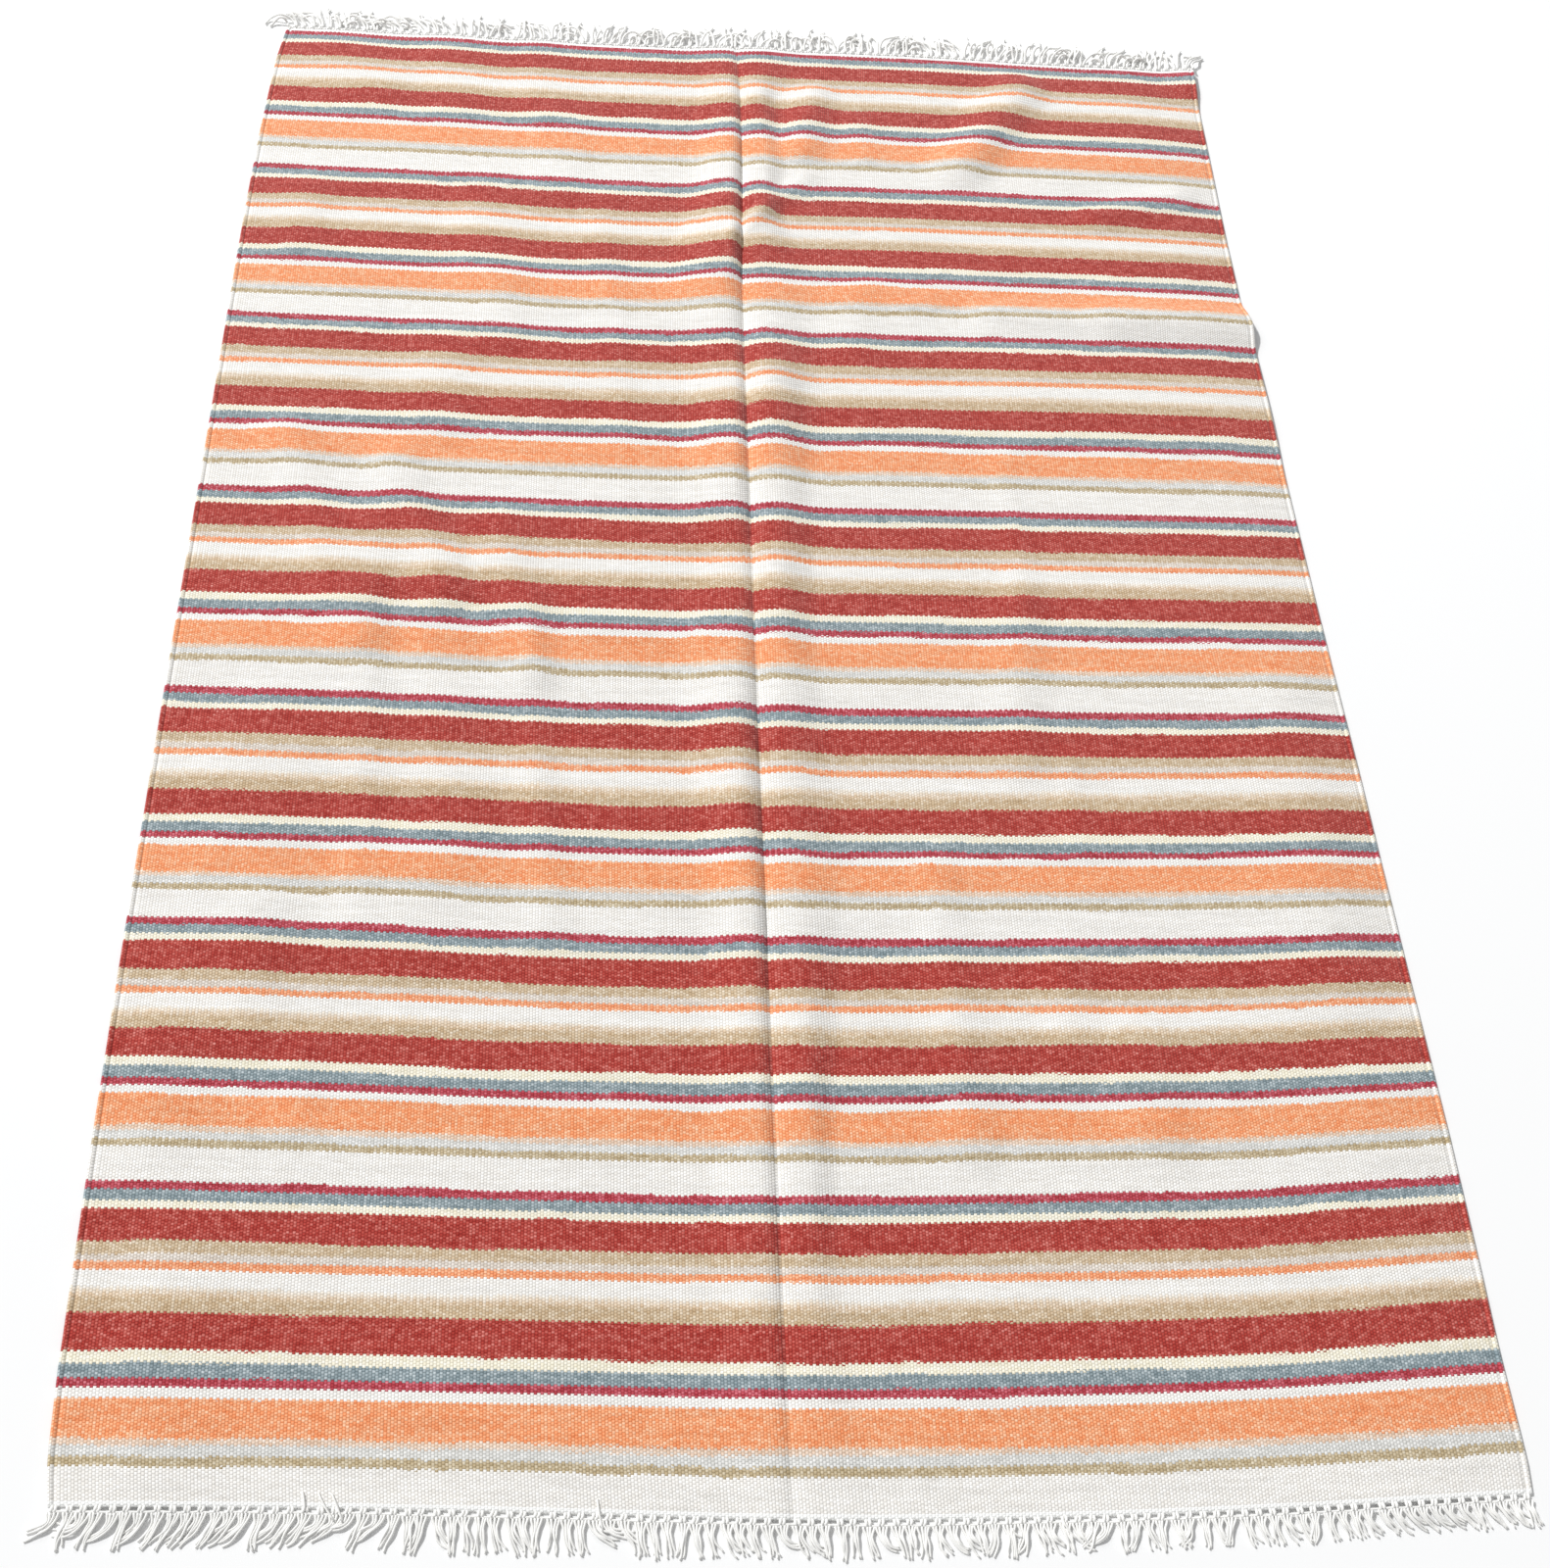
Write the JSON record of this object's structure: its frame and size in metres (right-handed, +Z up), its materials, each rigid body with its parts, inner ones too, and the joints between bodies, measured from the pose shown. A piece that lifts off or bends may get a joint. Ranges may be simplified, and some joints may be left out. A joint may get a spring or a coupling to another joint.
{
  "type": "kilim rug",
  "caption": "Flat woven striped floor rug lying flat, softly creased and rippled, with a knotted cotton fringe at each end.",
  "frame": {"origin": "middle of the rug's box, on the floor that it lies on", "axes": "+Z up from the floor, +Y along the rug from its near end to its far end, +X across it to the right"},
  "size_m": [1.229, 1.9102, 0.0165],
  "materials": {
    "striped_weave": "matt",
    "fringe_cotton": "matt"
  },
  "bodies": {
    "root": {"woven_field": "striped_weave", "near_fringe": "fringe_cotton", "far_fringe": "fringe_cotton"}
  },
  "joints": []
}
